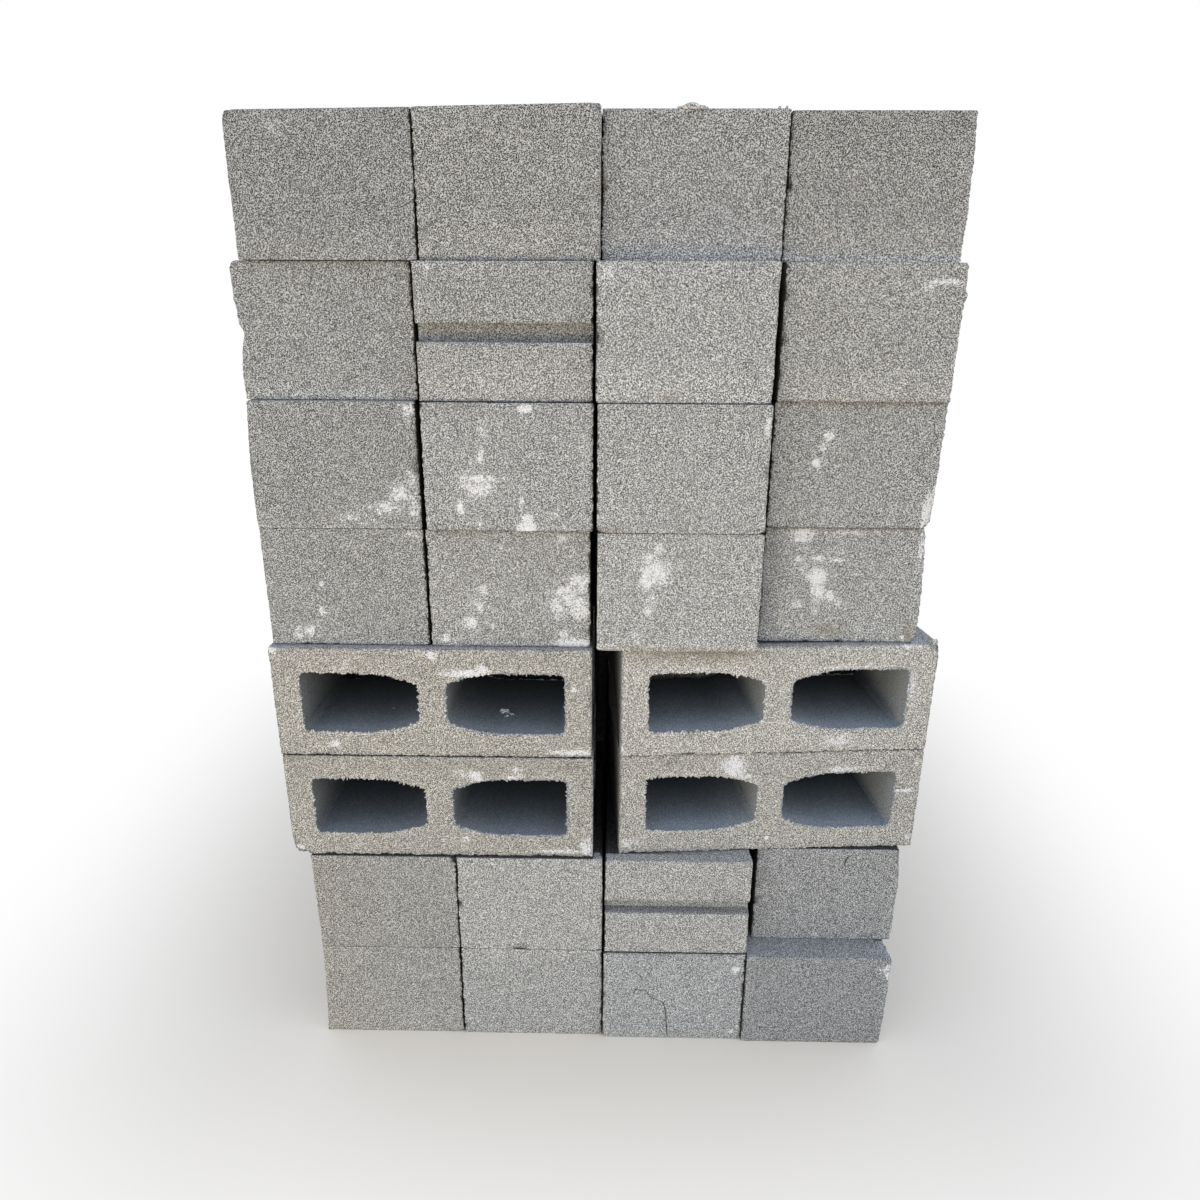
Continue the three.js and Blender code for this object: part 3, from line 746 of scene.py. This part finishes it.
def in_seam(seams, x, beside, back):
    """How deep in a joint a place is, 0 to 1: by its x, its distance to each side, and how far
    behind the front it is."""
    deepest = 0.0
    for side, start, stop, behind in seams:
        if start < x < stop and beside[side] < AGAINST:
            covered = SEAM_START if behind < LEDGE else behind - 1
            deepest = max(deepest, (back - covered) / SEAM_FADE)
    return min(1.0, deepest)


def mark(spots, right, up):
    """How strongly a face is marked at a place."""
    value = 0.0
    for x, z, wide, tall, strength in spots:
        d = math.hypot((right - x) / wide, (up - z) / tall)
        if d < 2:
            value = max(value, strength * (1 - d / 2))
    return value


def along(profile, place):
    """The value of a profile of (place, value) pairs at a place."""
    if place <= profile[0][0]:
        return profile[0][1]
    for (a, u), (b, v) in zip(profile, profile[1:]):
        if place <= b:
            return u + (v - u) * (place - a) / (b - a)
    return profile[-1][1]


# ------------------------ materials


def linear(hex_colour):
    """An sRGB hex colour as linear RGBA."""
    values = [int(hex_colour[i : i + 2], 16) / 255 for i in (1, 3, 5)]
    return [v / 12.92 if v <= 0.04045 else ((v + 0.055) / 1.055) ** 2.4 for v in values] + [1.0]


def add(tree, kind, inputs=None, **settings):
    """Adds a node with its settings, and its inputs as values or as sockets to link."""
    node = tree.nodes.new("ShaderNode" + kind)
    for name, value in settings.items():
        setattr(node, name, value)
    for name, value in (inputs or {}).items():
        if isinstance(value, bpy.types.NodeSocket):
            tree.links.new(value, node.inputs[name])
        else:
            node.inputs[name].default_value = value
    return node


def new_material(name):
    material = bpy.data.materials.new(name)
    material.use_nodes = True
    material.node_tree.nodes.clear()
    return material, material.node_tree


# Where the pattern of the grains is darkest and palest, and where the bloom starts and is full.
GRAIN_RANGE = (0.338, 0.573)
FLAKE_RANGE = (4.94, 5.04)


def dry_cast(name, colours, matrix, contrast, relief, grit):
    """A stiff, barely wet mix of cement, sand and grit: a matt, open face of pale and dark grains
    with pinholes between them. The contrast, the relief and the share of pale grit depend on how it
    was cast."""
    material, tree = new_material(name)

    def maths(operation, a, b):
        return add(tree, "Math", {0: a, 1: b}, operation=operation).outputs[0]

    def times(a, b):
        return maths("MULTIPLY", a, b)

    def plus(a, b):
        return maths("ADD", a, b)

    def spread(value, low, high, to_low=0.0, to_high=1.0):
        inputs = {"Value": value, "From Min": low, "From Max": high}
        inputs.update({"To Min": to_low, "To Max": to_high})
        return add(tree, "MapRange", inputs).outputs["Result"]

    def noise_of(size, detail, roughness, distortion=0.0):
        inputs = {"Vector": where, "Scale": 1 / (size * MM), "Detail": detail}
        inputs.update({"Roughness": roughness, "Distortion": distortion})
        return add(tree, "TexNoise", inputs).outputs["Fac"]

    def attribute(label):
        return add(tree, "Attribute", attribute_name=label).outputs["Fac"]

    def mix(factor, a, b):
        return add(tree, "Mix", {0: factor, 6: a, 7: b}, data_type="RGBA").outputs[2]

    # Turned a little, so that no face lies along the grain of the noise.
    where = add(tree, "TexCoord").outputs["Object"]
    where = add(tree, "Mapping", {"Vector": where, "Rotation": (0.5, 0.4, 0.3)}).outputs["Vector"]

    # The grains: packed close beside each other, and clustered a little.
    packed = add(tree, "TexVoronoi", {"Vector": where, "Scale": 1 / (colours.packing * MM)})
    sand = times(noise_of(colours.sand, 2.0, 0.6), 0.3)
    sand = plus(sand, times(packed.outputs["Distance"], 0.6))
    grain = spread(sand, *GRAIN_RANGE, 1 - contrast, 1 + contrast)

    # Dots of about half a cell: pinholes, specks of pale grit and loose white crumbs.
    cells = add(tree, "TexVoronoi", {"Vector": where, "Scale": 1 / (colours.pore * MM)})
    pick = add(tree, "SeparateColor", {0: cells.outputs["Color"]}).outputs
    dot = spread(cells.outputs["Distance"], 0.42, 0.18)
    pore = times(dot, spread(pick[0], 0.88, 0.92))
    speck = times(dot, spread(pick[1], 0.98 - grit, 1.02 - grit))
    bloom = attribute("bloom")
    loose = plus(pick[2], maths("MAXIMUM", attribute("fresh"), times(bloom, 0.4)))
    loose = times(dot, spread(loose, 1.005 - 0.2 * grit, 1.02 - 0.2 * grit))

    shade = times(grain, spread(pore, 0.0, 1.0, 1.0, 1 - 0.55 * contrast))
    shade = times(shade, spread(speck, 0.0, 1.0, 1.0, 1 + 0.5 * contrast))
    # Clouds a few centimetres and a few millimetres wide.
    shade = times(shade, spread(noise_of(42.0, 4.0, 0.6), 0.3, 0.7, 0.97, 1.03))
    shade = times(shade, spread(noise_of(8.0, 2.0, 0.5), 0.3, 0.7, 0.98, 1.02))
    # The tone attribute brings in each block's tone together with the painted light and shade laid
    # on it.
    shade = times(shade, attribute("tone"))
    # The warmth attribute brings in each block's warmth and the painted warm light on it.
    cool, warm = (0.94, 1.0, 1.06, 1.0), (1.06, 1.0, 0.88, 1.0)
    tint = mix(spread(attribute("warmth"), -1.0, 1.0), cool, warm)
    inputs = {0: tint, 1: linear(matrix)[:3]}
    base = add(tree, "VectorMath", inputs, operation="MULTIPLY").outputs[0]
    base = add(tree, "VectorMath", {0: base, "Scale": shade}, operation="SCALE").outputs[0]

    base = mix(times(loose, 0.85), base, linear(colours.crumb))
    earth = times(attribute("earth"), spread(noise_of(7.0, 3.0, 0.6), 0.3, 0.7, 0.3, 1.0))
    base = mix(earth, base, linear(colours.earth))
    # Bloom covers the middle of a mark, and breaks up into flakes towards its edges.
    flakes = plus(spread(bloom, 0.0, 0.45, 0.0, 1.05), bloom)
    flakes = plus(flakes, times(noise_of(3.0, 4.0, 0.75, 1.2), 5.5))
    flakes = plus(flakes, times(noise_of(9.0, 2.0, 0.6), 1.5))
    crust = times(spread(flakes, *FLAKE_RANGE, 0.0, 1.0), spread(sand, 0.33, 0.41, 0.5, 1.0))
    base = mix(maths("MAXIMUM", crust, times(bloom, 0.1)), base, linear(colours.lime))

    height = plus(sand, spread(pore, 0.0, 1.0, 0.3, 0.0))
    bump = add(tree, "Bump", {"Height": height, "Strength": relief, "Distance": 0.9 * MM})
    shader = add(tree, "BsdfPrincipled", {
        "Base Color": base, "Normal": bump.outputs["Normal"], "Roughness": 0.93, "IOR": 1.5,
        "Specular IOR Level": 0.2})
    add(tree, "OutputMaterial", {"Surface": shader.outputs[0]})
    return material


def make_materials(colours):
    # Vibrated against the steel mould: flat, neutral grey, the grains level with one another.
    dry_cast(MATERIALS[MOULDED], colours, colours.moulded, contrast=0.94, relief=0.9, grit=0.12)
    # Filled, tamped and stripped without a mould: paler, warmer and more crumbly.
    dry_cast(MATERIALS[TAMPED], colours, colours.tamped, contrast=0.9, relief=1.0, grit=0.2)
    # Drawn off the core as it was lifted out: closer and darker, its grains smeared flat; its blue
    # tint is painted skylight.
    dry_cast(MATERIALS[CORED], colours, colours.cored, contrast=0.45, relief=0.3, grit=-0.2)


# ------------------------ laying the blocks

# What the material reads from each vertex.
LABELS = ("bloom", "earth", "fresh", "tone", "warmth")

# Millimetres: how far behind the front its marks reach, from its side and into the block a side's
# straying fades out, how wide a brown side is, and how deep a crack goes.
MARKED, SIDE_FADE, DEPTH_FADE, BROWN_WIDTH, CRACK_DEPTH = 4, 20, 90, 110, 1.8

# Painted shade in the cores: how far from the back of the cube their daylight ends and starts to
# fade, in metres.
DAYLIGHT = (0.08, 0.15)

# How dark a crack is, by dirt and painted shade, and the painted shade in the hollow of a chip; the
# painted light that makes the drawn-in mouths of the second row pale; the painted warm light on the
# side walls of a core; and how freshly broken a crumb is.
CRACK_DIRT_AND_SHADE, HOLLOW_PAINTED_SHADE, FIN_PAINTED_LIGHT, CORE_SIDE_PAINTED_WARMTH, CRUMB_FRESH = 1.6, 0.8, 1.7, 1.3, 0.4

# How far apart the blocks lie in the noise, in millimetres, so that no two are worn alike.
SPREAD_OUT = 3000

# Where two faces meet more steeply than this, the edge between them stays sharp.
SHARP_ANGLE = math.radians(40)

templates = {}


def template(sizes, sash, fine, cracks):
    key = (sash, tuple(sorted(fine.items())), tuple(cracks))
    if key not in templates:
        templates[key] = block_mesh(sizes, sash, fine, cracks)
    return templates[key]


def own_number(name):
    """A number of about 0 to 1 that belongs to a name, the same on every run."""
    total = sum(ord(letter) * (i + 7) for i, letter in enumerate(name))
    return math.sin(total * 12.9898) * 0.5 + 0.5


def stray(moved, marks, right, up, fade, face_width):
    """Moves a vertex as far as the sides and the top of its block stray from straight."""
    if "left" in marks:
        moved.y -= along(marks["left"], up) * fade * near(right, SIDE_FADE)
    if "right" in marks:
        moved.y -= along(marks["right"], up) * fade * near(face_width - right, SIDE_FADE)
    if "top" in marks:
        moved.z += along(marks["top"], right) * up / BLOCK.z


def own_tone(name, marks, wear):
    """How pale and how warm a block is as a whole: partly its own tone, and partly painted light
    and shade that follow how it is lit, the top course darkened with painted shade.
    """
    top_shade = wear.top_course if name.startswith(f"course_{COURSES[-1]}") else 1.0
    tone = marks.get("tone", top_shade * (0.97 + 0.06 * own_number(name)))
    return tone, marks.get("warmth", 0.3 * own_number(name + "w") - 0.15)


def lay_block(node, name, centre, turn, end_on, fine):
    """Makes one worn block at its place, in metres, in the frame."""
    scene = bpy.context.scene
    sizes, wear = scene.block_settings, scene.wear_settings
    marks = MARKS.get(name, {})
    sash = name in SASH_BLOCKS
    sound, rims = template(sizes, sash, fine, marks.get("cracks", []))
    mesh = sound.copy()
    mesh.name = name
    seed = Vector((own_number(name), own_number(name + "y"), own_number(name + "z"))) * SPREAD_OUT
    turned = Matrix.Rotation(math.radians(90) if end_on else turn, 3, "Z")
    tone, warmth = own_tone(name, marks, wear)
    brown = marks.get("brown", 0.0)
    front_axis = 0 if end_on else 1
    face_width = BLOCK.y if end_on else BLOCK.x

    def on_block(right, up):
        if end_on:
            return Vector((-HALF.x, HALF.y - right, up - HALF.z))
        return Vector((right - HALF.x, -HALF.y, up - HALF.z))

    chips = [(on_block(right, up), wide, deep) for right, up, wide, deep in marks.get("chips", [])]
    seams = [] if "rear" in node else seams_of(name)
    groove = sizes.groove if sash else 0.0
    calm = end_on and name.endswith("_1")
    fin = wear.fin if "rear" in node and name.endswith("_1") and not end_on else 0.0
    places, values = [], {label: [] for label in LABELS}
    for vertex, rim in zip(sound.vertices, rims):
        co = vertex.co
        moved, fresh, hollow = worn(co, rim, wear, seed, chips, groove, calm, fin)
        right, up = on_front(co, end_on)
        back = co[front_axis] + HALF[front_axis]
        if not any(side * co[axis] > HALF[axis] - RINGS[-1] - 0.1 for axis, side in fine):
            fresh = 0.0
        stray(moved, marks, right, up, near(back, DEPTH_FADE), face_width)
        bloom = earth = dark = pale = 0.0
        if back < MARKED:
            bloom, earth, dark, pale = (
                mark(marks.get(kind, ()), right, up) for kind in ("bloom", "earth", "dark", "pale")
            )
            crack = crack_distance(right, up, marks.get("cracks", ()))
            moved[front_axis] += CRACK_DEPTH * crack
            # Painted shade in the hollow of a chip, and dirt with painted shade in a crack.
            dark = max(dark, HOLLOW_PAINTED_SHADE * hollow, CRACK_DIRT_AND_SHADE * crack)
        spot = centre + turned @ (moved * MM)
        places += [*spot]
        beside = {"left": right, "right": face_width - right, "down": up, "up": BLOCK.z - up}
        outside_joint = 1 - in_seam(seams, spot.x, beside, back)
        # The block's tone, partly painted light and shade, counts in full on the front and by half
        # elsewhere.
        shade = tone if back < MARKED else 0.5 * (tone + 1)
        # Painted light: the front caps of the second row are drawn paler, so that the drawn-in
        # mouths show as a lit line inside the cores.
        if fin and back < MARKED - 1:
            shade *= FIN_PAINTED_LIGHT
        # Dark marks, chip hollows and cracks darken the face with painted shade, the cracks also
        # with dirt; pale marks lift it with painted light; and the joints are darkened with painted
        # shade.
        shade *= (1 - 0.5 * dark + 0.5 * pale) * (1 - wear.joint_shade * (1 - outside_joint))
        # The pale marks also add painted warm light.
        side = near(right, BROWN_WIDTH) * brown + 0.4 * pale
        # Painted shade and light in the cores: their walls darken towards the middle of the cube,
        # some blocks' core walls are lifted with painted light, and the side walls get painted warm
        # light.
        between = HALF.x - sizes.end_web + IN_CORE, HALF.z - sizes.face_shell + IN_CORE
        if abs(co.x) < between[0] and abs(co.z) < between[1] and back > MARKED - 1 and not end_on:
            inward = (CAD_BOX[1][1] - abs(spot.y) - DAYLIGHT[0]) / DAYLIGHT[1]
            shade *= 1 - wear.core_shade * max(0.0, min(1.0, inward))
            shade *= marks.get("core", 1.0)
            side += CORE_SIDE_PAINTED_WARMTH * abs(vertex.normal.x)
        looks = (bloom * outside_joint, earth * outside_joint, fresh * outside_joint, shade, warmth + side)
        for label, value in zip(LABELS, looks):
            values[label].append(value)
    mesh.vertices.foreach_set("co", places)
    for label in LABELS:
        set_attribute(mesh, label, values[label])
    mesh.set_sharp_from_angle(angle=SHARP_ANGLE)
    mesh.update()
    place_piece(name + "_concrete", mesh, MATERIALS, node)
    for i, (right, up, back, long, tall, pale) in enumerate(marks.get("crumbs", [])):
        place = on_block(right, up)
        place[front_axis] += back
        lay_crumb(node, f"{name}_crumb_{i + 1}", centre + turned @ (place * MM), long, tall, pale)


def set_attribute(mesh, label, values):
    mesh.attributes.new(label, "FLOAT", "POINT").data.foreach_set("value", values)


def place_piece(name, mesh, materials, node):
    """Puts a piece in the scene, in place of the plain node that it stands for."""
    piece = bpy.data.objects.new(name, mesh)
    bpy.context.scene.collection.objects.link(piece)
    for material in materials:
        mesh.materials.append(bpy.data.materials[material])
    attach(piece, "root")
    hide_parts(node)


def lay_crumb(node, name, place, long, tall, tone):
    """A loose bit of broken concrete lying at a place, in metres, its size in millimetres."""
    bm = bmesh.new()
    bmesh.ops.create_icosphere(bm, subdivisions=3, radius=0.5)
    for v in bm.verts:
        v.co *= 1 + 0.8 * wave(v.co, 0.4, own_number(name) * 50)
        lump = Vector((v.co.x * long, v.co.y * long * 0.7, max(-0.1, v.co.z) * tall * 1.7))
        v.co = Vector(place) + lump * MM
    mesh = finish_mesh(name, bm)
    for label, value in (("tone", tone), ("fresh", CRUMB_FRESH)):
        set_attribute(mesh, label, [value] * len(mesh.vertices))
    place_piece(name, mesh, [MATERIALS[TAMPED]], node)


def centre_of(node):
    low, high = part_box(node)
    return (Vector(low) + Vector(high)) / 2


def outer_faces(course, column, last=False):
    """The faces of an end-on block that show at the sides, the back and the top of the cube."""
    beside = (bpy.context.scene.wear_settings.side_pitch, False)
    shown = {
        CAP_BACK: column == 1,
        CAP_FRONT: column == COLUMNS,
        END_BACK: last,
        SHELL_TOP: course == COURSES[-1],
    }
    return {face: beside for face, is_shown in shown.items() if is_shown}


class EndOnFront(bpy.types.Operator):
    """Lays the front blocks of the end-on courses"""

    bl_idname = "blocks.end_on_front"
    bl_label = "End-on front blocks"

    def execute(self, context):
        pitch = context.scene.wear_settings.end_pitch
        for course in END_ON_COURSES:
            for column in range(1, COLUMNS + 1):
                name = f"course_{course}_block_{column}"
                fine = {END_FRONT: (pitch, True), **outer_faces(course, column)}
                lay_block(name, name, centre_of(name), 0.0, True, fine)
        return {"FINISHED"}


class CrosswiseFront(bpy.types.Operator):
    """Lays the front blocks of the crosswise courses"""

    bl_idname = "blocks.crosswise_front"
    bl_label = "Crosswise front blocks"

    def execute(self, context):
        wear = context.scene.wear_settings
        for course in CROSSWISE_COURSES:
            for column in (1, 2):
                name = f"course_{course}_block_{column}"
                fine = {CAP_FRONT: (wear.cap_pitch, True)}
                fine[END_FRONT if column == 1 else END_BACK] = (wear.side_pitch, False)
                turn = math.radians(TURNED_BLOCKS.get(name, 0.0))
                lay_block(name, name, centre_of(name), turn, False, fine)
        return {"FINISHED"}


class EndOnRear(bpy.types.Operator):
    """Lays the blocks behind the front ones in the end-on courses"""

    bl_idname = "blocks.end_on_rear"
    bl_label = "End-on rear blocks"

    def execute(self, context):
        for course in END_ON_COURSES:
            node = f"course_{course}_rear_blocks"
            low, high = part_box(node)
            across = (high[0] - low[0] - BLOCK.y * MM) / (COLUMNS - 1)
            length = high[1] - low[1] - BLOCK.x * MM
            for row in range(REAR_LENGTHS):
                for column in range(COLUMNS):
                    last = row == REAR_LENGTHS - 1
                    closing = CLOSING * MM * ((column == 1) - (column == 2)) if last else 0.0
                    centre = Vector((
                        low[0] + BLOCK.y * MM / 2 + column * across + closing,
                        low[1] + BLOCK.x * MM / 2 + row * length,
                        (low[2] + high[2]) / 2,
                    ))
                    name = f"course_{course}_rear_{row + 1}_{column + 1}"
                    lay_block(node, name, centre, 0.0, True, outer_faces(course, column + 1, last))
        return {"FINISHED"}


class CrosswiseRear(bpy.types.Operator):
    """Lays the blocks behind the front ones in the crosswise courses"""

    bl_idname = "blocks.crosswise_rear"
    bl_label = "Crosswise rear blocks"

    def execute(self, context):
        pitch = context.scene.wear_settings.side_pitch
        for course in CROSSWISE_COURSES:
            for side in ("left", "right"):
                node = f"course_{course}_rear_{side}_blocks"
                low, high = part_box(node)
                step = (high[1] - low[1] - BLOCK.y * MM) / (REAR_ROWS - 1)
                for row in range(REAR_ROWS):
                    fine = {END_FRONT if side == "left" else END_BACK: (pitch, False)}
                    if row == 0:
                        fine[CAP_FRONT] = (pitch, True)
                    if row == REAR_ROWS - 1:
                        fine[CAP_BACK] = (pitch, True)
                    centre = Vector((
                        (low[0] + high[0]) / 2,
                        low[1] + BLOCK.y * MM / 2 + row * step,
                        (low[2] + high[2]) / 2,
                    ))
                    name = f"course_{course}_rear_{side}_{row + 1}"
                    lay_block(node, name, centre, 0.0, False, fine)
        return {"FINISHED"}


# ------------------------ studio

WHITE = (1.0, 1.0, 1.0, 1.0)

# From where to where, upwards, the light off the ground gives way to that of the sky.
HORIZON = (-0.06, 0.1)


def ray_is_seen(tree):
    """1 where the camera or a gloss sees the surface itself, 0 where it only lights others."""
    path = add(tree, "LightPath").outputs
    seen = path["Is Camera Ray"]
    for ray in ("Is Glossy Ray", "Is Transmission Ray"):
        seen = add(tree, "Math", {0: seen, 1: path[ray]}, operation="MAXIMUM").outputs[0]
    return seen


def make_floor(studio):
    """A round floor that fades into the white ground. It keeps the shadow of the cube, and lights
    the undersides as dry ground does."""
    bm = bmesh.new()
    bmesh.ops.create_circle(bm, cap_ends=True, segments=96, radius=studio.floor_radius)
    mesh = finish_mesh("floor", bm)
    floor = bpy.data.objects.new("floor", mesh)
    bpy.context.scene.collection.objects.link(floor)
    material, tree = new_material("pale_floor")
    # How far a place is outside the foot of the cube.
    away = add(tree, "TexCoord").outputs["Object"]
    away = add(tree, "VectorMath", {0: away}, operation="ABSOLUTE").outputs[0]
    for operation, other in (("SUBTRACT", (*CAD_BOX[1][:2], 0)), ("MAXIMUM", (0, 0, 0))):
        away = add(tree, "VectorMath", {0: away, 1: other}, operation=operation).outputs[0]
    away = add(tree, "VectorMath", {0: away}, operation="LENGTH").outputs["Value"]
    inputs = {"Value": away, "From Min": 0.0, "From Max": studio.fade}
    fade = add(tree, "MapRange", inputs, interpolation_type="SMOOTHSTEP").outputs["Result"]
    shaded = add(tree, "BsdfDiffuse", {"Color": (*studio.shaded, 1.0)}).outputs[0]
    white = add(tree, "Emission", {"Color": WHITE, "Strength": 1.0}).outputs[0]
    shown = add(tree, "MixShader", {0: fade, 1: shaded, 2: white}).outputs[0]
    lit = add(tree, "BsdfDiffuse", {"Color": (*studio.lit, 1.0)}).outputs[0]
    surface = add(tree, "MixShader", {0: ray_is_seen(tree), 1: lit, 2: shown}).outputs[0]
    add(tree, "OutputMaterial", {"Surface": surface})
    mesh.materials.append(material)


def make_world(studio):
    """Cool light from above, warm light off the ground, and a plain white ground behind."""
    world = bpy.data.worlds.new("studio_world")
    bpy.context.scene.world = world
    world.use_nodes = True
    tree = world.node_tree
    tree.nodes.clear()
    way = add(tree, "TexCoord").outputs["Generated"]
    up = add(tree, "SeparateXYZ", {"Vector": way}).outputs["Z"]
    inputs = {"Value": up, "From Min": HORIZON[0], "From Max": HORIZON[1]}
    above = add(tree, "MapRange", inputs).outputs["Result"]
    inputs = {0: above, 6: (*studio.ground, 1.0), 7: (*studio.sky, 1.0)}
    light = add(tree, "Mix", inputs, data_type="RGBA", clamp_result=False).outputs[2]
    inputs = {0: ray_is_seen(tree), 6: light, 7: WHITE}
    shown = add(tree, "Mix", inputs, data_type="RGBA").outputs[2]
    back = add(tree, "Background", {"Color": shown, "Strength": 1.0})
    add(tree, "OutputWorld", {"Surface": back.outputs[0]})


def make_lamp(studio):
    lamp = bpy.data.lights.new("front_light", "AREA")
    lamp.shape = "RECTANGLE"
    lamp.size, lamp.size_y = studio.lamp_size
    lamp.energy, lamp.color = studio.lamp_power, studio.lamp_colour
    holder = bpy.data.objects.new("front_light", lamp)
    holder.location = studio.lamp_place
    aim = Vector(studio.lamp_aim) - Vector(studio.lamp_place)
    holder.rotation_euler = aim.to_track_quat("-Z", "Y").to_euler()
    holder.visible_camera = False
    bpy.context.scene.collection.objects.link(holder)


def make_camera(studio):
    data = bpy.data.cameras.new("camera")
    data.sensor_width, data.lens = 36.0, studio.lens
    data.shift_x, data.shift_y = studio.shift
    data.clip_start, data.clip_end = 0.05, 100.0
    camera = bpy.data.objects.new("camera", data)
    upright = Matrix.Rotation(math.radians(90) - studio.pitch, 4, "X")
    panned = Matrix.Rotation(studio.pan, 4, "Z")
    leaned = Matrix.Rotation(studio.roll, 4, "Z")
    camera.matrix_world = Matrix.Translation(studio.camera_place) @ panned @ upright @ leaned
    bpy.context.scene.collection.objects.link(camera)
    bpy.context.scene.camera = camera


class Studio(bpy.types.Operator):
    """Makes the floor, the light and the camera"""

    bl_idname = "blocks.studio"
    bl_label = "Studio"

    def execute(self, context):
        scene = context.scene
        studio = scene.studio_settings
        make_floor(studio)
        make_world(studio)
        make_lamp(studio)
        make_camera(studio)
        scene.view_settings.view_transform = "Standard"
        return {"FINISHED"}


class BlocksPanel(bpy.types.Panel):
    """Lists the steps of the block cube"""

    bl_label = "Concrete blocks"
    bl_idname = "VIEW3D_PT_concrete_blocks"
    bl_space_type = "VIEW_3D"
    bl_region_type = "UI"
    bl_category = "Blocks"

    def draw(self, context):
        for step in STEPS:
            self.layout.operator(step.bl_idname)
        for group in SETTINGS:
            box = self.layout.box()
            box.label(text=group.__doc__)
            values = getattr(context.scene, SETTINGS[group])
            for name in group.__annotations__:
                box.prop(values, name)


SETTINGS = {
    BlockSettings: "block_settings",
    WearSettings: "wear_settings",
    ConcreteSettings: "concrete_settings",
    StudioSettings: "studio_settings",
}
STEPS = (EndOnFront, CrosswiseFront, EndOnRear, CrosswiseRear, Studio)


def register():
    for cls in (*SETTINGS, *STEPS, BlocksPanel):
        bpy.utils.register_class(cls)
    for group, name in SETTINGS.items():
        setattr(bpy.types.Scene, name, PointerProperty(type=group))


def unregister():
    for name in SETTINGS.values():
        delattr(bpy.types.Scene, name)
    for cls in reversed((*SETTINGS, *STEPS, BlocksPanel)):
        bpy.utils.unregister_class(cls)


def main():
    register()
    make_materials(bpy.context.scene.concrete_settings)
    for step in STEPS:
        group, name = step.bl_idname.split(".")
        getattr(getattr(bpy.ops, group), name)()


if __name__ == "__main__":
    main()
